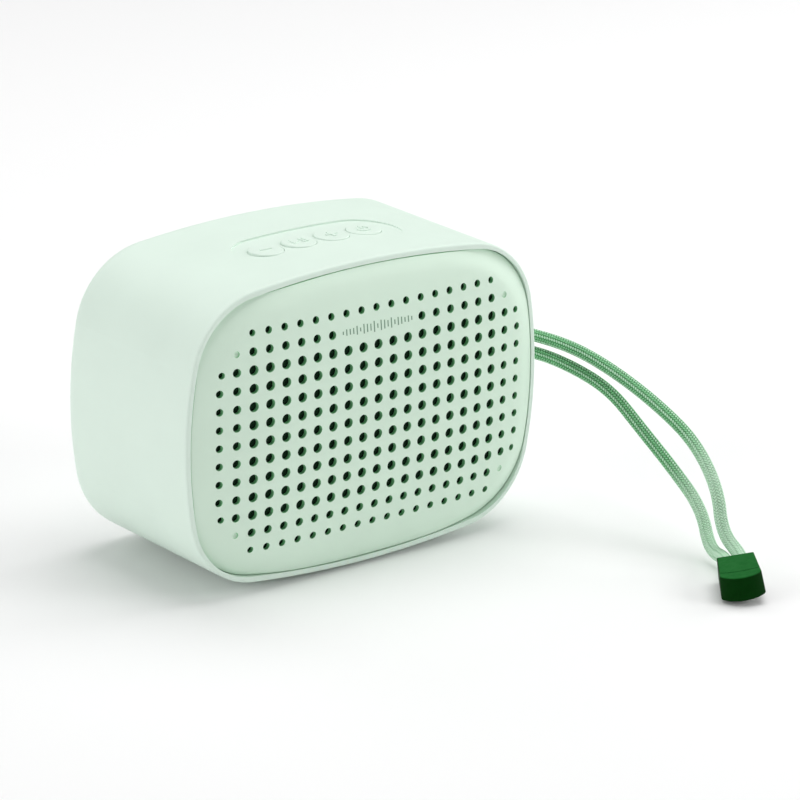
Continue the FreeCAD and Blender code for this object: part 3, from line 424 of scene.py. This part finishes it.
def braid_yarn(name):
    """Green and pale yarns with painted shade in the crossings and painted highlights on the crowns,
    pale near the cap.
    """
    s = Shader(name, linear(96, 160, 112), 0.72, specular=0.25)
    s.bsdf.inputs["Sheen Weight"].default_value = 0.2
    s.bsdf.inputs["Sheen Roughness"].default_value = 0.5
    # Painted shade and highlight: each yarn is darker where it dips under the others and brighter on its
    # crowns.
    crown = s.ramp(s.mesh_value("yarn_crown"), 0.60, 0.98)
    green_painted_highlight = s.mix(s.noise(0.5, 3), linear(124, 204, 142), linear(158, 222, 170))
    pale_painted_highlight = s.mix(s.noise(0.4, 3), linear(172, 228, 184), linear(214, 244, 220))
    green = s.mix(crown, linear(52, 138, 72), green_painted_highlight)
    pale = s.mix(crown, linear(72, 158, 92), pale_painted_highlight)
    fresh = s.mix(s.mesh_value("yarn_way"), green, pale)
    faded = s.mix(s.noise(1.6, 3), linear(182, 222, 190), linear(214, 240, 218))
    s.colour(s.mix(s.ramp(s.mesh_value("cord_run"), 0.66, 0.76, 0.0, 0.85), fresh, faded))
    s.bump(s.noise(0.12, 3), 0.03)
    return s.material


def cap_with_painted_top_light(name):
    """Dark satin moulding with painted light: the upper side is painted paler and the other sides
    darker, by which way the surface faces.
    """
    s = Shader(name, linear(16, 84, 32), 0.5, specular=0.03)
    deep = s.mix(s.noise(2.0, 3), linear(0, 42, 2), linear(2, 52, 8))
    painted_top_light = s.mix(s.noise(1.5, 4), linear(20, 88, 34), linear(38, 108, 50))
    # Painted light: the colour goes from the deep tone to the paler one as the surface turns upwards.
    s.colour(s.mix(s.ramp(s.facing("Z"), 0.45, 0.9), deep, painted_top_light))
    s.roughness(s.ramp(s.noise(1.0, 4), 0.3, 0.7, 0.42, 0.56))
    s.bump(s.noise(2.5, 2), 0.04, 0.5)
    s.bump(s.noise(0.3, 3), 0.02)
    return s.material


MINT = linear(223, 240, 228)
GRILLE_MINT = linear(218, 240, 222)
# Painted shade for the hole walls and the skirt of the grille.
GRILLE_WALL_SHADE = linear(138, 204, 152)

FINISHES = {
    "housing_plastic": moulded_plastic("housing_plastic", MINT),
    "grille_plastic": grille_with_painted_hole_shade("grille_plastic", GRILLE_MINT, GRILLE_WALL_SHADE),
    "key_plastic": moulded_plastic("key_plastic", MINT, 0.45, 0.18, 0.008),
    "mint_rubber": soft_rubber("mint_rubber", linear(204, 226, 210)),
    "cap_rubber": cap_with_painted_top_light("cap_rubber"),
    "inner_plastic": moulded_plastic("inner_plastic", linear(26, 34, 30), 0.55),
    "black_plastic": moulded_plastic("black_plastic", linear(20, 20, 20), 0.5),
    "white_plastic": moulded_plastic("white_plastic", linear(226, 222, 210), 0.45),
    "screw_steel": metal("screw_steel", [0.62, 0.62, 0.60, 1], 0.28),
    "basket_steel": metal("basket_steel", [0.5, 0.5, 0.5, 1], 0.38, (1, 6, 1)),
    "capacitor_can": metal("capacitor_can", [0.72, 0.72, 0.74, 1], 0.25),
    "coil_brass": metal("coil_brass", [0.72, 0.38, 0.2, 1], 0.3, (1, 14, 1)),
    "mesh_cloth": cloth("mesh_cloth", linear(10, 38, 20), 0.3),
    "spider_cloth": cloth("spider_cloth", linear(190, 150, 80), 0.6),
    "foam": soft_rubber("foam", linear(30, 32, 31), 0.95),
    "black_rubber": soft_rubber("black_rubber", linear(24, 24, 24), 0.55),
    "ferrite": moulded_plastic("ferrite", linear(44, 44, 46), 0.7, 0.5, 0.03, 0.12),
    "cone_paper": soft_rubber("cone_paper", linear(36, 36, 38), 0.9),
    "circuit_board": moulded_plastic("circuit_board", linear(24, 84, 46), 0.3, 0.6, 0.01, 0.12),
    "ribbon": moulded_plastic("ribbon", linear(214, 150, 60), 0.3, 0.5, 0.005, 0.08),
    "lead_jacket": soft_rubber("lead_jacket", linear(150, 24, 22), 0.45),
    "battery_wrap": moulded_plastic("battery_wrap", linear(188, 194, 200), 0.28, 1.2, 0.02, 0.06),
    "mark_ink": moulded_plastic("mark_ink", linear(118, 152, 128), 0.6, 0.2, 0.004, 0.06),
    "cord_braid": braid_yarn("cord_braid"),
}
for subpart in frame["record"]["subparts"]:
    materials = NODES[subpart["node"]].data.materials
    materials.clear()
    materials.append(FINISHES[subpart["material_slot"]])
for strand in (upper_strand, lower_strand):
    strand.data.materials.append(FINISHES["cord_braid"])


# --- studio -------------------------------------------------------------------------------------
FLOOR_HALF = 4
WORLD_STRENGTH = 0.24
LIGHT_AIM = Vector((0, 0, 0.035))
SOFTBOXES = (                # name, place, diameter, power
    ("top_softbox", (0.25, 0.05, 0.95), 1.0, 6.5),
    ("back_softbox", (0.0, 0.9, 0.8), 0.8, 1.6),
    ("left_softbox", (-1.0, 0.15, 0.35), 0.8, 4.4),
    ("right_softbox", (1.1, -0.1, 0.4), 0.7, 3.4),
    ("front_softbox", (0.7, -0.9, 0.5), 0.6, 3.8),
)


def add_floor():
    corners = [(x * FLOOR_HALF, y * FLOOR_HALF, 0) for x, y in ((-1, -1), (1, -1), (1, 1), (-1, 1))]
    floor = mesh_object("floor", corners, [(0, 1, 2, 3)])
    s = Shader("floor", [0.92, 0.92, 0.92, 1], 0.9, specular=0.1)
    s.colour(s.mix(s.noise(400.0, 2), [0.91, 0.91, 0.91, 1], [0.93, 0.93, 0.93, 1]))
    floor.data.materials.append(s.material)


def add_softbox(name, place, diameter, power):
    data = bpy.data.lights.new(name, "AREA")
    data.shape = "DISK"
    data.size = diameter
    data.energy = power
    light = bpy.data.objects.new(name, data)
    light.location = place
    light.rotation_euler = (Vector(place) - LIGHT_AIM).to_track_quat("Z", "Y").to_euler()
    bpy.context.scene.collection.objects.link(light)


def add_world():
    world = bpy.data.worlds.new("studio")
    world.use_nodes = True
    background = world.node_tree.nodes["Background"]
    background.inputs["Color"].default_value = (1, 1, 1, 1)
    background.inputs["Strength"].default_value = WORLD_STRENGTH
    bpy.context.scene.world = world


add_floor()
add_world()
for softbox in SOFTBOXES:
    add_softbox(*softbox)
bpy.context.scene.view_settings.view_transform = "Standard"
bpy.context.scene.view_settings.look = "None"
